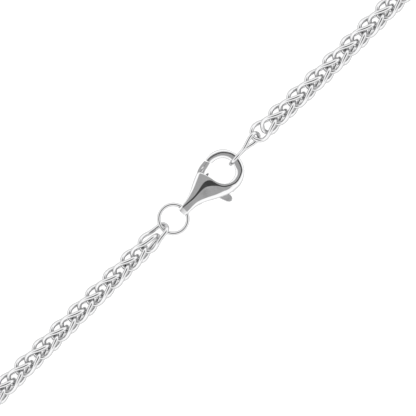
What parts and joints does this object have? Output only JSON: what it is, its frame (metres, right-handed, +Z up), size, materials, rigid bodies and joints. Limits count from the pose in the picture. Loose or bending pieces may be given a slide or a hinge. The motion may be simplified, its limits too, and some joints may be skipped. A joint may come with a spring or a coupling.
{
  "type": "wheat_chain_necklace",
  "caption": "Silver wheat chain necklace with a lobster clasp, jump ring and twisted end link, lying flat as a closed loop",
  "frame": {"origin": "Centre of the necklace's footprint on the surface it lies on, at the surface's height", "axes": "+X runs along the clasp run, from the jump ring to the end link. +Y points from the clasp to the far side of the loop. +Z is up, away from the surface."},
  "size_m": [0.1748, 0.097, 0.0024],
  "materials": {
    "clasp_silver": "high polish cast silver",
    "chain_silver": "polished drawn silver wire"
  },
  "bodies": {
    "necklace": {"clasp_body": "clasp_silver", "clasp_pin": "clasp_silver", "jump_ring": "chain_silver", "end_link": "chain_silver", "chain_run_head": "chain_silver", "chain_run_tail": "chain_silver", "head_link_1": "chain_silver", "head_link_2": "chain_silver", "head_link_3": "chain_silver", "head_link_4": "chain_silver", "head_link_5": "chain_silver", "head_link_6": "chain_silver", "head_link_7": "chain_silver", "head_link_8": "chain_silver", "head_link_9": "chain_silver", "head_link_10": "chain_silver", "head_link_11": "chain_silver", "head_link_12": "chain_silver", "head_link_13": "chain_silver", "head_link_14": "chain_silver", "head_link_15": "chain_silver", "head_link_16": "chain_silver", "head_link_17": "chain_silver", "tail_link_1": "chain_silver", "tail_link_2": "chain_silver", "tail_link_3": "chain_silver", "tail_link_4": "chain_silver", "tail_link_5": "chain_silver", "tail_link_6": "chain_silver", "tail_link_7": "chain_silver", "tail_link_8": "chain_silver", "tail_link_9": "chain_silver", "tail_link_10": "chain_silver", "tail_link_11": "chain_silver", "tail_link_12": "chain_silver", "tail_link_13": "chain_silver", "tail_link_14": "chain_silver", "tail_link_15": "chain_silver", "tail_link_16": "chain_silver", "tail_link_17": "chain_silver"},
    "lever": {"clasp_lever": "clasp_silver"}
  },
  "joints": [
    {"name": "lever_pivot", "type": "hinge", "parent": "necklace", "child": "lever", "pos_m": [0.00008, -0.04389, 0.00118], "axis": [0, 0, -1], "range_deg": [0, 24], "stiffness_Nm_per_rad": 0.004, "springref_deg": -11.46}
  ]
}
